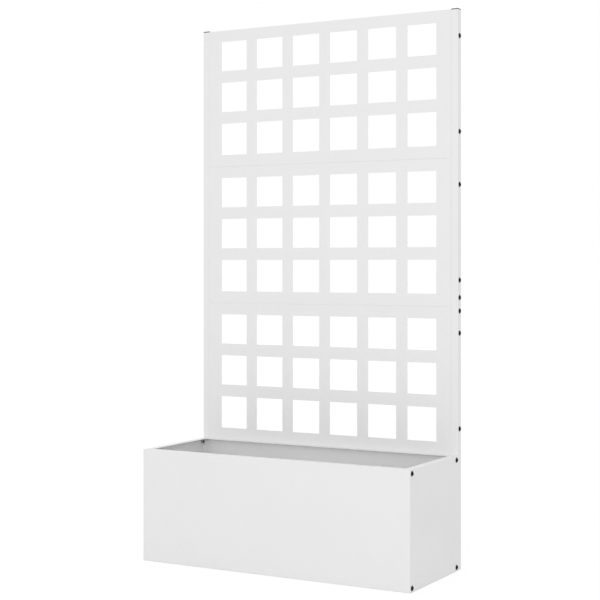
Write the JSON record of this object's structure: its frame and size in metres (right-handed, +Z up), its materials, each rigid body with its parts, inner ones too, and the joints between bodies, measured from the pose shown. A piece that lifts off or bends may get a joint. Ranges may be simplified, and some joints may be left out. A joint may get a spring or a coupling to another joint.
{
  "type": "planter with trellis",
  "caption": "Rectangular sheet-metal planter box with a tall lattice screen on two square posts behind it, for climbing plants.",
  "frame": {"origin": "on the ground, under the middle of the whole object", "axes": "+X across the width, to the right as seen from the front; +Y to the back, where the trellis stands; +Z up"},
  "size_m": [0.8066, 0.3212, 1.4835],
  "materials": {
    "white_coat": "satin white powder coat",
    "black_screw": "black oxide, satin",
    "black_plastic": "matt moulded plastic",
    "zinc_steel": "bright zinc plate"
  },
  "bodies": {
    "root": {"front_panel": "white_coat", "back_panel": "white_coat", "side_panel_left": "white_coat", "side_panel_right": "white_coat", "base_panel": "white_coat", "lower_post_left": "white_coat", "lower_post_right": "white_coat", "upper_post_left": "white_coat", "upper_post_right": "white_coat", "post_sleeve_left": "zinc_steel", "post_sleeve_right": "zinc_steel", "post_cap_left": "black_plastic", "post_cap_right": "black_plastic", "lattice_top": "white_coat", "lattice_middle": "white_coat", "lattice_bottom": "white_coat", "box_screws_left": "black_screw", "box_screws_right": "black_screw", "lattice_screws_left": "black_screw", "lattice_screws_right": "black_screw", "sleeve_screws_left": "black_screw", "sleeve_screws_right": "black_screw", "post_screws_left": "black_screw", "post_screws_right": "black_screw", "box_nuts_left": "zinc_steel", "box_nuts_right": "zinc_steel", "lattice_nuts_left": "zinc_steel", "lattice_nuts_right": "zinc_steel", "sleeve_nuts_left": "zinc_steel", "sleeve_nuts_right": "zinc_steel", "post_nuts_left": "zinc_steel", "post_nuts_right": "zinc_steel"}
  },
  "joints": []
}
